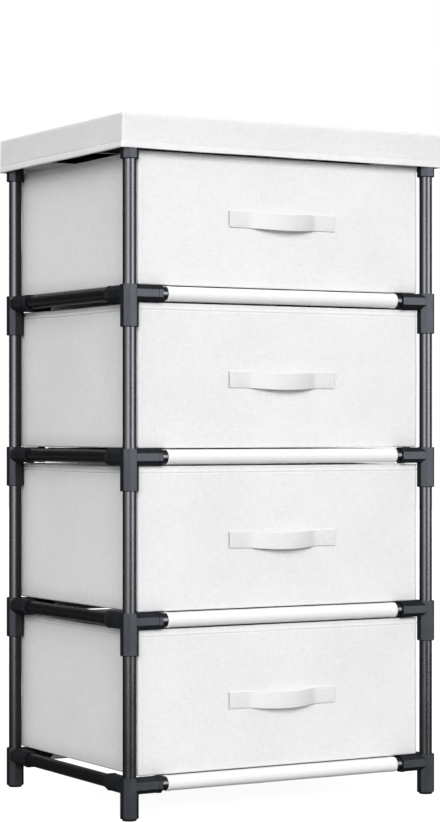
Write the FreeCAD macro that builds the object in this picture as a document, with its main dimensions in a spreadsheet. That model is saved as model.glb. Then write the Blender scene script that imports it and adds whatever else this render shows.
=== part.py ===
import FreeCAD
import Part
import Sketcher
import os
from math import atan, cos, pi, sin, sqrt
from FreeCAD import Placement, Rotation, Vector

# Fabric drawer dresser: steel tubes pushed into moulded corner connectors, fabric shelves sleeved over the
# front and rear tubes, four fabric drawers, and a board top under a fitted fabric cover.
#
# Frame: +Z up, +X to the right along the front, +Y to the rear. The origin is on the floor, at the centre of
# the four posts. All sizes are in millimetres.

TIERS = 4                                   # drawers, one above another
LEVELS = TIERS + 1                          # tube levels, counted from 1 at the top

# Driving sizes. Each one becomes a cell of the sheet, under its own name.
SIZES = {
    # frame
    "post_pitch_x": 421.0,                  # between post axes along the front
    "post_pitch_y": 312.0,                  # between post axes from front to rear
    "tier_pitch": 192.5,                    # between tube levels
    "foot_height": 40.0,                    # lowest tube axis above the floor
    "tube_dia": 16.0,
    "tube_wall": 0.9,
    # corner connectors: octagonal mouldings with blind round sockets
    "leg_flat": 20.0,                       # across the flats of the upright leg
    "leg_cut": 5.5,                         # corner cut of the leg's octagon
    "arm_flat": 19.0,                       # across the flats of the level arms
    "arm_cut": 5.0,
    "leg_above": 10.0,                      # leg above the tube level's axis
    "leg_below": 40.0,                      # leg below it
    "top_leg_below": 36.0,                  # the same at the top connectors
    "leg_bevel": 0.8,                       # bevel round the leg's lower end
    "arm_x_reach": 40.0,                    # arm tip from the post axis, along the front
    "arm_y_reach": 46.0,                    # and along the side
    "rim_length": 5.0,                      # collar at an arm's mouth
    "rim_proud": 0.5,
    "socket_up": 19.0,                      # depth of the socket for the post above
    "stop_wall": 3.0,                       # wall between the upper and the lower socket
    "arm_stop": 12.0,                       # bottom of an arm's socket from the post axis
    "socket_fit": 0.1,                      # radial clearance of a tube in its socket
    "end_gap": 0.3,                         # a tube ends this much short of a stop
    "web_radius": 1.5,                      # rounded web in a connector's inner corners
    "web_width": 8.0,
    # foot plugs
    "pad_height": 2.0,
    "pad_inset": 1.0,                       # pad's rim inside the leg's flats
    "pad_taper": 1.0,                       # the pad's foot is smaller than its rim by this
    "plug_stem": 18.0,
    # fabric shelves
    "sleeve_cloth": 0.6,
    "sleeve_fit": 0.15,                     # radial clearance of a sleeve on its tube
    "bare_tube": 8.0,                       # bare tube between an arm's tip and the sleeve
    # top
    "top_board_thickness": 6.0,
    "cover_cloth": 1.2,
    "cover_gap_x": 4.0,                     # connector to skirt, at the sides
    "cover_gap_y": 0.3,                     # connector to skirt, front and rear
    "cover_drop": 41.5,                     # top face to the skirt's lower edge
    "cover_corner": 5.0,
    "cover_edge": 2.0,                      # rounding of the top edge
    "cover_hem": 7.0,
    "cover_hem_proud": 0.6,
    # drawers
    "drawer_side_gap": 2.0,                 # leg's flat to the drawer's side
    "drawer_front_inset": 1.8,              # drawer front behind the front posts' axes
    "drawer_rear_proud": 9.0,               # drawer rear behind the rear posts' axes
    "drawer_lift": 0.3,                     # clear of the arms below
    "rim_gap": 0.8,                         # drawer's rim to the arms above
    "skirt_gap": 0.4,                       # top drawer's rim to the skirt's lower edge
    "bin_cloth": 2.0,                       # side and rear walls
    "bin_floor": 1.5,
    "bin_skin": 1.0,                        # each cloth of the front wall's board pocket
    "bin_corner": 3.0,
    "bin_hem": 8.5,
    "bin_hem_proud": 0.4,
    "board_thickness": 3.0,
    "board_gap": 0.3,                       # clearance round a board in its place
    "pocket_mouth": 14.0,                   # height of the pocket's mouth, inside above the floor
    # strap handles
    "strap_height": 20.0,
    "strap_lift": 72.0,                     # drawer's underside to the strap's lower edge
    "strap_cloth": 1.5,
    "strap_tab": 25.0,                      # sewn flat end
    "strap_span": 100.0,                    # free part between the tabs
    "strap_bow": 12.0,                      # how far the free part stands out
    "strap_bend": 25.0,                     # radius where the strap leaves the drawer front
}

doc = FreeCAD.newDocument("fabric_drawer_dresser")
sheet = doc.addObject("Spreadsheet::Sheet", "Sizes")
for row, (name, value) in enumerate(SIZES.items(), start=1):
    sheet.set(f"A{row}", name)
    sheet.set(f"B{row}", str(value))
    sheet.setAlias(f"B{row}", name)
doc.recompute()


def size(name):
    return float(sheet.get(name))


# ---------------------------------------------------------------- levels and corners


def level_height(level):
    """Height of a tube level's axis: level 1 is the top, LEVELS the lowest."""
    return f"(Sizes.foot_height + {LEVELS - level} * Sizes.tier_pitch)"


def post_x(side):
    return f"({side} * Sizes.post_pitch_x / 2)"


def post_y(side):
    return f"({side} * Sizes.post_pitch_y / 2)"


# corner: its side along X and along Y
CORNERS = {
    "front_left": (-1, -1),
    "front_right": (1, -1),
    "rear_left": (-1, 1),
    "rear_right": (1, 1),
}
SIDES = {"left": -1, "right": 1}
ENDS = {"front": -1, "rear": 1}

# ---------------------------------------------------------------- sizes worked out from the sheet

SOCKET_DIA = "(Sizes.tube_dia + 2 * Sizes.socket_fit)"
LEG_FACE = "(Sizes.leg_flat - 2 * Sizes.leg_cut)"
ARM_FACE = "(Sizes.arm_flat - 2 * Sizes.arm_cut)"
RIM_FLAT = "(Sizes.arm_flat + 2 * Sizes.rim_proud)"
LOWER_SOCKET_TOP = "(Sizes.leg_above - Sizes.socket_up - Sizes.stop_wall)"
FOOT_LEG = "(Sizes.foot_height - Sizes.pad_height)"
SLEEVE_LENGTH = "(Sizes.post_pitch_x - 2 * Sizes.arm_x_reach - 2 * Sizes.bare_tube)"

COVER_WIDTH = "(Sizes.post_pitch_x + Sizes.leg_flat + 2 * Sizes.cover_gap_x + 2 * Sizes.cover_cloth)"
COVER_DEPTH = "(Sizes.post_pitch_y + Sizes.leg_flat + 2 * Sizes.cover_gap_y + 2 * Sizes.cover_cloth)"
BOARD_BASE = f"({level_height(1)} + Sizes.leg_above)"
COVER_BASE = f"({BOARD_BASE} + Sizes.top_board_thickness + Sizes.cover_cloth - Sizes.cover_drop)"

BIN_WIDTH = "(Sizes.post_pitch_x - Sizes.leg_flat - 2 * Sizes.drawer_side_gap)"
BIN_DEPTH = "(Sizes.post_pitch_y - Sizes.drawer_front_inset + Sizes.drawer_rear_proud)"
BIN_FRONT = "(-Sizes.post_pitch_y / 2 + Sizes.drawer_front_inset)"
BIN_MIDDLE = f"({BIN_FRONT} + {BIN_DEPTH} / 2)"
FRONT_WALL = "(2 * Sizes.bin_skin + Sizes.board_thickness + 2 * Sizes.board_gap)"
INSIDE_WIDTH = f"({BIN_WIDTH} - 2 * Sizes.bin_cloth)"
INSIDE_DEPTH = f"({BIN_DEPTH} - {FRONT_WALL} - Sizes.bin_cloth)"
INSIDE_SHIFT = f"(({FRONT_WALL} - Sizes.bin_cloth) / 2)"
POCKET_DEPTH = "(Sizes.board_thickness + 2 * Sizes.board_gap)"


def bin_base(tier):
    """Underside of a drawer, just clear of the arms that carry it."""
    return f"({level_height(tier + 1)} + {RIM_FLAT} / 2 + Sizes.drawer_lift)"


def bin_height(tier):
    """The top drawer ends below the cover's skirt, the others below the next arms."""
    if tier == 1:
        return f"({COVER_BASE} - Sizes.skirt_gap - {bin_base(tier)})"
    return f"(Sizes.tier_pitch - {RIM_FLAT} - Sizes.drawer_lift - Sizes.rim_gap)"


# ---------------------------------------------------------------- helpers


def bind(item, bindings):
    """Tie an object's properties to formulas of the sheet's cells."""
    for target, formula in bindings.items():
        item.setExpression(target, formula)


def place(item, x="0", y="0", z="0", rotation=Rotation()):
    item.Placement = Placement(Vector(), rotation)
    bind(item, {".Placement.Base.x": x, ".Placement.Base.y": y, ".Placement.Base.z": z})


ALONG_X = Rotation(Vector(0, 1, 0), 90)     # turns +Z to +X
ALONG_Y = Rotation(Vector(1, 0, 0), -90)    # turns +Z to +Y
HALF_TURN = Rotation(Vector(0, 0, 1), 180)


def new_body(label):
    body = doc.addObject("PartDesign::Body", label)
    body.Label = label
    return body


def new_sketch(body, role, offset="0", shift_x="0", shift_y="0"):
    """A sketch on one of the body's origin planes, moved along the plane's normal and in the plane."""
    sketch = body.newObject("Sketcher::SketchObject", "Sketch")
    plane = next(item for item in body.Origin.OriginFeatures if item.Role == role)
    sketch.AttachmentSupport = [(plane, "")]
    sketch.MapMode = "FlatFace"
    bind(sketch, {
        ".AttachmentOffset.Base.x": shift_x,
        ".AttachmentOffset.Base.y": shift_y,
        ".AttachmentOffset.Base.z": offset,
    })
    return sketch


def polygon(sketch, corners):
    """Close a polygon through rough corners, which its dimensions then move into place."""
    count = len(corners)
    edges = []
    for index in range(count):
        start = Vector(*corners[index], 0)
        end = Vector(*corners[(index + 1) % count], 0)
        edges.append(sketch.addGeometry(Part.LineSegment(start, end)))
    for index in range(count):
        following = edges[(index + 1) % count]
        sketch.addConstraint(Sketcher.Constraint("Coincident", edges[index], 2, following, 1))
    return edges


def dimension(sketch, kind, first, second, formula):
    """A driving distance from one point to another, each given as (edge, end)."""
    rough = 10.0
    constraint = sketch.addConstraint(Sketcher.Constraint(kind, *first, *second, rough))
    sketch.setExpression(f"Constraints[{constraint}]", formula)


# how a constraint names a sketch's origin, its axes and the points of an edge
ORIGIN_POINT = (-1, 1)
H_AXIS = -1
V_AXIS = -2
START = 1
END = 2
CENTRE = 3
TOLERANCE = 1e-6


def octagon(sketch, across, face):
    """An octagon about the sketch's origin: its size across the flats and the width of its four faces."""
    half, inner = 10.0, 4.5
    edges = polygon(sketch, [
        (half, -inner), (half, inner), (inner, half), (-inner, half),
        (-half, inner), (-half, -inner), (-inner, -half), (inner, -half),
    ])
    right, upper, left, lower = edges[0::2]
    for edge, axis in ((right, H_AXIS), (left, H_AXIS), (upper, V_AXIS), (lower, V_AXIS)):
        sketch.addConstraint(Sketcher.Constraint("Symmetric", edge, START, edge, END, axis))
    sketch.addConstraint(Sketcher.Constraint("Symmetric", right, END, left, START, V_AXIS))
    sketch.addConstraint(Sketcher.Constraint("Symmetric", upper, START, lower, END, H_AXIS))
    dimension(sketch, "DistanceX", (left, START), (right, END), across)
    dimension(sketch, "DistanceY", (lower, END), (upper, START), across)
    dimension(sketch, "DistanceY", (right, START), (right, END), face)
    dimension(sketch, "DistanceX", (upper, END), (upper, START), face)


def rectangle(sketch, width, depth):
    """A rectangle about the sketch's origin."""
    half = 10.0
    edges = polygon(sketch, [(-half, -half), (half, -half), (half, half), (-half, half)])
    lower, right, upper, left = edges
    for edge in (lower, upper):
        sketch.addConstraint(Sketcher.Constraint("Horizontal", edge))
    for edge in (left, right):
        sketch.addConstraint(Sketcher.Constraint("Vertical", edge))
    sketch.addConstraint(Sketcher.Constraint("Symmetric", lower, START, upper, START, *ORIGIN_POINT))
    dimension(sketch, "DistanceX", (lower, START), (lower, END), width)
    dimension(sketch, "DistanceY", (right, START), (right, END), depth)


def circle(sketch, diameter):
    """A circle about the sketch's origin."""
    rough = 5.0
    edge = sketch.addGeometry(Part.Circle(Vector(), Vector(0, 0, 1), rough))
    sketch.addConstraint(Sketcher.Constraint("Coincident", edge, CENTRE, *ORIGIN_POINT))
    constraint = sketch.addConstraint(Sketcher.Constraint("Diameter", edge, 2 * rough))
    sketch.setExpression(f"Constraints[{constraint}]", diameter)


def pad(body, sketch, length, reverse=False, middle=False):
    feature = body.newObject("PartDesign::Pad", "Pad")
    feature.Profile = sketch
    feature.Reversed = reverse
    if middle:
        feature.SideType = "Symmetric"
    feature.setExpression("Length", length)


def pocket(body, sketch, length, reverse=False):
    feature = body.newObject("PartDesign::Pocket", "Pocket")
    feature.Profile = sketch
    feature.Reversed = reverse
    feature.setExpression("Length", length)


def dress(body, kind, size_property, formula, wanted):
    """Add a Fillet or Chamfer on the edges of the body's last feature for which wanted(edge) is true."""
    doc.recompute()
    base = body.Tip
    names = [f"Edge{index}" for index, edge in enumerate(base.Shape.Edges, start=1) if wanted(edge)]
    feature = body.newObject(kind, "Dress")
    feature.Base = (base, names)
    feature.setExpression(size_property, formula)


def is_upright(edge):
    first = edge.Vertexes[0].Point
    last = edge.Vertexes[-1].Point
    return edge.Length > TOLERANCE and abs(abs(first.z - last.z) - edge.Length) < TOLERANCE


def is_level_at(edge, height):
    return all(abs(vertex.Z - height) < TOLERANCE for vertex in edge.Vertexes)


def round_corners(body, middle, corner, cloth):
    """Round a box's upright corners inside, then outside; middle is the depth of its wall's middle."""
    doc.recompute()
    border = body.Tip.Shape.BoundBox.XMax - middle
    inner_radius = f"Sizes.{corner} - Sizes.{cloth}"
    dress(body, "PartDesign::Fillet", "Radius", inner_radius,
          lambda edge: is_upright(edge) and abs(edge.CenterOfMass.x) < border)
    dress(body, "PartDesign::Fillet", "Radius", f"Sizes.{corner}",
          lambda edge: is_upright(edge) and abs(edge.CenterOfMass.x) > border)


# ---------------------------------------------------------------- corner connectors


def web(body, role, corner_x, corner_y, side_x, side_y):
    """A rounded web that fills an inner corner; the two sides say where the open quarter lies."""
    radius = size("web_radius")
    root = radius / 2                       # how far the web reaches into the two walls
    outer_x = corner_x + side_x * radius
    outer_y = corner_y + side_y * radius
    root_x = corner_x - side_x * root
    root_y = corner_y - side_y * root
    middle_x = outer_x - side_x * radius * sqrt(0.5)
    middle_y = outer_y - side_y * radius * sqrt(0.5)
    sketch = new_sketch(body, role)
    points = [
        (outer_x, corner_y), (outer_x, root_y), (root_x, root_y), (root_x, outer_y), (corner_x, outer_y),
    ]
    for first, second in zip(points, points[1:]):
        sketch.addGeometry(Part.LineSegment(Vector(*first, 0), Vector(*second, 0)))
    rounding = Part.Arc(Vector(*points[-1], 0), Vector(middle_x, middle_y, 0), Vector(*points[0], 0))
    sketch.addGeometry(rounding)
    pad(body, sketch, "Sizes.web_width", middle=True)


def arm(body, role, reach, sign, reverse):
    """An octagonal arm along the plane's normal (sign 1) or against it, with a collar at its mouth."""
    sketch = new_sketch(body, role)
    octagon(sketch, "Sizes.arm_flat", ARM_FACE)
    pad(body, sketch, reach, reverse=reverse)
    sketch = new_sketch(body, role, f"{sign} * ({reach} - Sizes.rim_length)")
    octagon(sketch, RIM_FLAT, ARM_FACE)
    pad(body, sketch, "Sizes.rim_length", reverse=reverse)


def socket(body, role, mouth, depth, reverse):
    sketch = new_sketch(body, role, mouth)
    circle(sketch, SOCKET_DIA)
    pocket(body, sketch, depth, reverse=reverse)


def connector(label, corner, level):
    """A corner connector, modelled about the crossing of its axes, with its side arm towards +Y.

    hand 1 has its front arm towards +X. The rear connectors are the front ones of the other side,
    turned half round.
    """
    side_x, side_y = CORNERS[corner]
    hand = side_x * side_y
    leg_below = {1: "Sizes.top_leg_below", LEVELS: FOOT_LEG}.get(level, "Sizes.leg_below")
    body = new_body(label)

    leg = new_sketch(body, "XY_Plane", f"-{leg_below}")
    octagon(leg, "Sizes.leg_flat", LEG_FACE)
    pad(body, leg, f"{leg_below} + Sizes.leg_above")
    doc.recompute()
    lower_end = body.Tip.Shape.BoundBox.ZMin
    dress(body, "PartDesign::Chamfer", "Size", "Sizes.leg_bevel", lambda edge: is_level_at(edge, lower_end))

    arm(body, "YZ_Plane", "Sizes.arm_x_reach", hand, reverse=hand < 0)
    arm(body, "XZ_Plane", "Sizes.arm_y_reach", -1, reverse=True)

    leg_face = size("leg_flat") / 2
    arm_face = size("arm_flat") / 2
    web(body, "XZ_Plane", hand * leg_face, -arm_face, hand, -1)
    web(body, "YZ_Plane", leg_face, -arm_face, 1, -1)
    web(body, "XY_Plane", hand * arm_face, arm_face, hand, 1)

    if level > 1:
        socket(body, "XY_Plane", "Sizes.leg_above", "Sizes.socket_up", reverse=False)
    socket(body, "XY_Plane", f"-{leg_below}", f"{leg_below} + {LOWER_SOCKET_TOP}", reverse=True)
    socket(body, "YZ_Plane", f"{hand} * Sizes.arm_x_reach", "Sizes.arm_x_reach - Sizes.arm_stop",
           reverse=hand < 0)
    socket(body, "XZ_Plane", "-Sizes.arm_y_reach", "Sizes.arm_y_reach - Sizes.arm_stop", reverse=True)

    place(body, post_x(side_x), post_y(side_y), level_height(level), HALF_TURN if side_y > 0 else Rotation())
    return body


# ---------------------------------------------------------------- tubes and foot plugs


def cylinder(name, radius, height):
    item = doc.addObject("Part::Cylinder", name)
    bind(item, {"Radius": radius, "Height": height})
    return item


def tube(label, length, x, y, z, rotation=Rotation()):
    """A straight tube from its near or lower end."""
    outer = cylinder(f"{label}_outside", "Sizes.tube_dia / 2", length)
    inner = cylinder(f"{label}_bore", "Sizes.tube_dia / 2 - Sizes.tube_wall", length)
    item = doc.addObject("Part::Cut", label)
    item.Label = label
    item.Base = outer
    item.Tool = inner
    place(item, x, y, z, rotation)
    return item


def group(label, members):
    item = doc.addObject("Part::Compound", label)
    item.Label = label
    item.Links = members
    return item


def post_tubes(corner):
    """Four tubes, one above another, each standing on the stop wall of the connector below it."""
    side_x, side_y = CORNERS[corner]
    length = "Sizes.tier_pitch - Sizes.stop_wall - Sizes.end_gap"
    members = []
    for tier in range(1, TIERS + 1):
        foot = f"{level_height(tier + 1)} + Sizes.leg_above - Sizes.socket_up"
        members.append(tube(f"post_{corner}_{tier}", length, post_x(side_x), post_y(side_y), foot))
    return group(f"post_tubes_{corner}", members)


def side_tubes(side):
    length = "Sizes.post_pitch_y - 2 * Sizes.arm_stop - 2 * Sizes.end_gap"
    near_end = f"{post_y(-1)} + Sizes.arm_stop + Sizes.end_gap"
    members = []
    for level in range(1, LEVELS + 1):
        label = f"side_tube_{side}_{level}"
        members.append(tube(label, length, post_x(SIDES[side]), near_end, level_height(level), ALONG_Y))
    return group(f"side_tubes_{side}", members)


def cross_tube(end, level):
    """A tube along the front or the rear."""
    length = "Sizes.post_pitch_x - 2 * Sizes.arm_stop - 2 * Sizes.end_gap"
    left_end = f"{post_x(-1)} + Sizes.arm_stop + Sizes.end_gap"
    return tube(f"{end}_tube_{level}", length, left_end, post_y(ENDS[end]), level_height(level), ALONG_X)


def foot_plug(corner):
    """A stem in the foot's lower socket and a tapered pad under the leg."""
    side_x, side_y = CORNERS[corner]
    stem = cylinder(f"plug_stem_{corner}", "Sizes.tube_dia / 2", "Sizes.plug_stem")
    bind(stem, {".Placement.Base.z": "Sizes.pad_height"})
    sole = doc.addObject("Part::Cone", f"plug_pad_{corner}")
    bind(sole, {
        "Radius1": "Sizes.leg_flat / 2 - Sizes.pad_inset - Sizes.pad_taper",
        "Radius2": "Sizes.leg_flat / 2 - Sizes.pad_inset",
        "Height": "Sizes.pad_height",
    })
    plug = doc.addObject("Part::Fuse", f"plug_{corner}")
    plug.Base = stem
    plug.Tool = sole
    place(plug, post_x(side_x), post_y(side_y))
    return plug


# ---------------------------------------------------------------- fabric shelves


def shelf_sheet(tier):
    """The cloth under a drawer, over its level's front and rear tubes and sewn round each as a sleeve."""
    inner = size("tube_dia") / 2 + size("sleeve_fit")
    outer = inner + size("sleeve_cloth")
    axis = size("post_pitch_y") / 2
    seam = sqrt(outer ** 2 - inner ** 2)    # where the cloth's underside leaves a sleeve, from its axis
    seam_angle = atan(inner / seam)
    normal = Vector(0, 0, 1)
    front = Vector(-axis, 0, 0)
    rear = Vector(axis, 0, 0)

    body = new_body(f"shelf_sheet_{tier}")
    sketch = new_sketch(body, "YZ_Plane")
    sketch.addGeometry(Part.LineSegment(Vector(-axis, outer, 0), Vector(axis, outer, 0)))
    sketch.addGeometry(Part.ArcOfCircle(Part.Circle(rear, normal, outer), pi - seam_angle, 2 * pi + pi / 2))
    sketch.addGeometry(Part.LineSegment(Vector(axis - seam, inner, 0), Vector(seam - axis, inner, 0)))
    sketch.addGeometry(Part.ArcOfCircle(Part.Circle(front, normal, outer), pi / 2, 2 * pi + seam_angle))
    sketch.addGeometry(Part.Circle(front, normal, inner))
    sketch.addGeometry(Part.Circle(rear, normal, inner))
    pad(body, sketch, SLEEVE_LENGTH, middle=True)
    place(body, z=level_height(tier + 1))
    return body


# ---------------------------------------------------------------- top


def top_cover():
    """A fitted cover: a flat top, a skirt round it and a hem band along the skirt's lower edge."""
    body = new_body("top_cover")
    sketch = new_sketch(body, "XY_Plane")
    rectangle(sketch, COVER_WIDTH, COVER_DEPTH)
    pad(body, sketch, "Sizes.cover_drop")
    sketch = new_sketch(body, "XY_Plane")
    hem = "2 * Sizes.cover_hem_proud"
    rectangle(sketch, f"{COVER_WIDTH} + {hem}", f"{COVER_DEPTH} + {hem}")
    pad(body, sketch, "Sizes.cover_hem")
    sketch = new_sketch(body, "XY_Plane")
    rectangle(sketch, f"{COVER_WIDTH} - 2 * Sizes.cover_cloth", f"{COVER_DEPTH} - 2 * Sizes.cover_cloth")
    pocket(body, sketch, "Sizes.cover_drop - Sizes.cover_cloth", reverse=True)

    round_corners(body, size("cover_hem_proud") + size("cover_cloth") / 2, "cover_corner", "cover_cloth")
    top = size("cover_drop")
    dress(body, "PartDesign::Fillet", "Radius", "Sizes.cover_edge", lambda edge: is_level_at(edge, top))
    place(body, z=COVER_BASE)
    return body


def top_board():
    """The stiff board that the cover is drawn over; it lies on the top connectors."""
    body = new_body("top_board")
    margin = "2 * Sizes.cover_cloth - 2 * Sizes.board_gap"
    sketch = new_sketch(body, "XY_Plane")
    rectangle(sketch, f"{COVER_WIDTH} - {margin}", f"{COVER_DEPTH} - {margin}")
    pad(body, sketch, "Sizes.top_board_thickness")
    dress(body, "PartDesign::Fillet", "Radius", "Sizes.cover_corner - Sizes.cover_cloth", is_upright)
    place(body, z=BOARD_BASE)
    return body


# ---------------------------------------------------------------- drawers


def drawer_bin(tier):
    """A sewn box, open on top: a hem round its rim and a board pocket in its front wall."""
    height = bin_height(tier)
    body = new_body(f"drawer_{tier}_bin")
    sketch = new_sketch(body, "XY_Plane")
    rectangle(sketch, BIN_WIDTH, BIN_DEPTH)
    pad(body, sketch, height)
    sketch = new_sketch(body, "XY_Plane", f"{height} - Sizes.bin_hem")
    hem = "2 * Sizes.bin_hem_proud"
    rectangle(sketch, f"{BIN_WIDTH} + {hem}", f"{BIN_DEPTH} + {hem}")
    pad(body, sketch, "Sizes.bin_hem")
    sketch = new_sketch(body, "XY_Plane", height, shift_y=INSIDE_SHIFT)
    rectangle(sketch, INSIDE_WIDTH, INSIDE_DEPTH)
    pocket(body, sketch, f"{height} - Sizes.bin_floor")
    round_corners(body, size("bin_hem_proud") + size("bin_cloth") / 2, "bin_corner", "bin_cloth")

    pocket_middle = f"(-{BIN_DEPTH} / 2 + {FRONT_WALL} / 2)"
    sketch = new_sketch(body, "XY_Plane", "Sizes.bin_floor", shift_y=pocket_middle)
    rectangle(sketch, INSIDE_WIDTH, POCKET_DEPTH)
    pocket(body, sketch, f"{height} - Sizes.bin_floor - Sizes.bin_hem", reverse=True)

    mouth_middle = f"(-{BIN_DEPTH} / 2 + {FRONT_WALL} - Sizes.bin_skin / 2)"
    sketch = new_sketch(body, "XY_Plane", "Sizes.bin_floor", shift_y=mouth_middle)
    rectangle(sketch, INSIDE_WIDTH, "Sizes.bin_skin")
    pocket(body, sketch, "Sizes.pocket_mouth", reverse=True)
    place(body, y=BIN_MIDDLE, z=bin_base(tier))
    return body


def board(label, width, depth, height, y, z):
    """A flat board, centred across the drawer, from its front face and its underside."""
    item = doc.addObject("Part::Box", label)
    item.Label = label
    bind(item, {"Length": width, "Width": depth, "Height": height})
    place(item, x=f"-{width} / 2", y=y, z=z)
    return item


def front_board(tier):
    width = f"({INSIDE_WIDTH} - 2 * Sizes.board_gap)"
    height = f"{bin_height(tier)} - Sizes.bin_floor - Sizes.bin_hem - Sizes.board_gap"
    front = f"{BIN_FRONT} + Sizes.bin_skin + Sizes.board_gap"
    floor = f"{bin_base(tier)} + Sizes.bin_floor"
    return board(f"drawer_{tier}_front_board", width, "Sizes.board_thickness", height, front, floor)


def base_board(tier):
    width = f"({INSIDE_WIDTH} - 2 * Sizes.board_gap)"
    depth = f"({INSIDE_DEPTH} - 2 * Sizes.board_gap)"
    front = f"{BIN_FRONT} + {FRONT_WALL} + Sizes.board_gap"
    floor = f"{bin_base(tier)} + Sizes.bin_floor"
    return board(f"drawer_{tier}_base_board", width, depth, "Sizes.board_thickness", front, floor)


def strap_side(sketch, offset):
    """One side of the strap: tab, bend, bow, bend, tab, at an offset outwards from its middle line."""
    half = size("strap_span") / 2
    bow = size("strap_bow")
    bend = size("strap_bend")
    tab_end = half + size("strap_tab")
    middle = -size("strap_cloth") / 2
    turn = 2 * atan(bow / half)             # how far the strap turns out of the drawer's front
    arch = half / sin(turn) - bend          # radius of the bow
    normal = Vector(0, 0, 1)
    level = middle - offset
    bend_centre = middle - bend
    left_bend = Part.Circle(Vector(-half, bend_centre, 0), normal, bend - offset)
    right_bend = Part.Circle(Vector(half, bend_centre, 0), normal, bend - offset)
    bow_circle = Part.Circle(Vector(0, middle - bow + arch, 0), normal, arch + offset)
    sketch.addGeometry(Part.LineSegment(Vector(-tab_end, level, 0), Vector(-half, level, 0)))
    sketch.addGeometry(Part.ArcOfCircle(left_bend, pi / 2 - turn, pi / 2))
    sketch.addGeometry(Part.ArcOfCircle(bow_circle, -pi / 2 - turn, -pi / 2 + turn))
    sketch.addGeometry(Part.ArcOfCircle(right_bend, pi / 2, pi / 2 + turn))
    sketch.addGeometry(Part.LineSegment(Vector(half, level, 0), Vector(tab_end, level, 0)))
    return tab_end, level


def handle_strap(tier):
    """A strap sewn flat at both ends, bowed out between them for the fingers."""
    body = new_body(f"drawer_{tier}_handle_strap")
    sketch = new_sketch(body, "XY_Plane")
    half_cloth = size("strap_cloth") / 2
    tab_end, outside = strap_side(sketch, half_cloth)
    tab_end, inside = strap_side(sketch, -half_cloth)
    for end in (-tab_end, tab_end):
        sketch.addGeometry(Part.LineSegment(Vector(end, outside, 0), Vector(end, inside, 0)))
    pad(body, sketch, "Sizes.strap_height")
    place(body, y=BIN_FRONT, z=f"{bin_base(tier)} + Sizes.strap_lift")
    return body


# ---------------------------------------------------------------- the whole dresser


def connector_label(corner, level):
    kind = {1: "top", LEVELS: "foot"}.get(level, f"tier_{level - 1}")
    return f"{kind}_connector_{corner}"


nodes = []
for level in range(1, LEVELS + 1):
    for corner in CORNERS:
        nodes.append(connector(connector_label(corner, level), corner, level))
    for end in ENDS:
        nodes.append(cross_tube(end, level))
for corner in CORNERS:
    nodes.append(post_tubes(corner))
for side in SIDES:
    nodes.append(side_tubes(side))
nodes.append(group("foot_plugs", [foot_plug(corner) for corner in CORNERS]))
nodes.append(top_board())
nodes.append(top_cover())
for tier in range(1, TIERS + 1):
    nodes.append(shelf_sheet(tier))
    nodes.append(drawer_bin(tier))
    nodes.append(front_board(tier))
    nodes.append(base_board(tier))
    nodes.append(handle_strap(tier))
doc.recompute()

# ---------------------------------------------------------------- checks and export

for item in doc.Objects:
    if "Invalid" in item.State or "Error" in item.State:
        raise RuntimeError(f"{item.Label} did not compute")
    if item.TypeId in ("PartDesign::Pad", "PartDesign::Pocket") and item.BaseFeature:
        change = item.Shape.Volume - item.BaseFeature.Shape.Volume
        grows = item.TypeId == "PartDesign::Pad"
        if (change > 0) != grows:
            raise RuntimeError(f"{item.Label} changes nothing")
for node in nodes:
    if node.Shape.isNull() or not node.Shape.isValid():
        raise RuntimeError(f"{node.Label} has no valid shape")

os.makedirs("parts", exist_ok=True)
for node in nodes:
    node.Shape.exportStep(f"parts/{node.Label}.step")
print(len(nodes), "nodes")
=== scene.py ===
from math import atan, cos, exp, pi, radians, sin, sqrt

import bpy
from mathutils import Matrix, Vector, noise


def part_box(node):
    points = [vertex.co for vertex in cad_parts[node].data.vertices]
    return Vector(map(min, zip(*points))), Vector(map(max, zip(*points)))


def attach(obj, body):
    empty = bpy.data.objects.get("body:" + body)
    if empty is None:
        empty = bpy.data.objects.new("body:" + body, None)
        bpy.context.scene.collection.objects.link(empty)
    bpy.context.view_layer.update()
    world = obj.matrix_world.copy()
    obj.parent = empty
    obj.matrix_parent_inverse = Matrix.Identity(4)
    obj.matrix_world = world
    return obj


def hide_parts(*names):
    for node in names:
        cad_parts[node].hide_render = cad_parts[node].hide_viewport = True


# Fabric drawer dresser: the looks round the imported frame. Metres, +Z up, +X to the right, +Y to the rear.

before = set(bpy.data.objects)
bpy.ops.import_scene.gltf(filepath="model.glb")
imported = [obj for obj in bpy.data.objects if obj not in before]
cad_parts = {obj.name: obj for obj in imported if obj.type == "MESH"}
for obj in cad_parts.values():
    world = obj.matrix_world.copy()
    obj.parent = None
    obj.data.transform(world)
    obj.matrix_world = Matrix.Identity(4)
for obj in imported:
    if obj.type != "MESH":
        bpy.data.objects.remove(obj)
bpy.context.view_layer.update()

# ---------------------------------------------------------------- sizes

TIERS = (1, 2, 3, 4)
CORNER_STEPS = 6            # steps round a corner of a sewn box
SIDE_STEPS = (44, 36)       # steps along its front or rear, and along its sides
CROWDING = 0.8              # how much closer together the steps are near the corners

COVER_CLOTH = 0.0012
COVER_EDGE = 0.0022         # rounding of the cover's top edge
COVER_CORNER = 0.0007       # rounding of its upright corners
COVER_HEM = 0.007           # height of its hem
COVER_FLARE = 0.0012        # how far the skirt stands out at its lower edge
COVER_HEM_PROUD = 0.0006    # how far the hem stands out of the skirt
COVER_WAVE = 0.0011         # size and length of the skirt's soft waves
COVER_WAVE_LENGTH = 0.055

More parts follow.
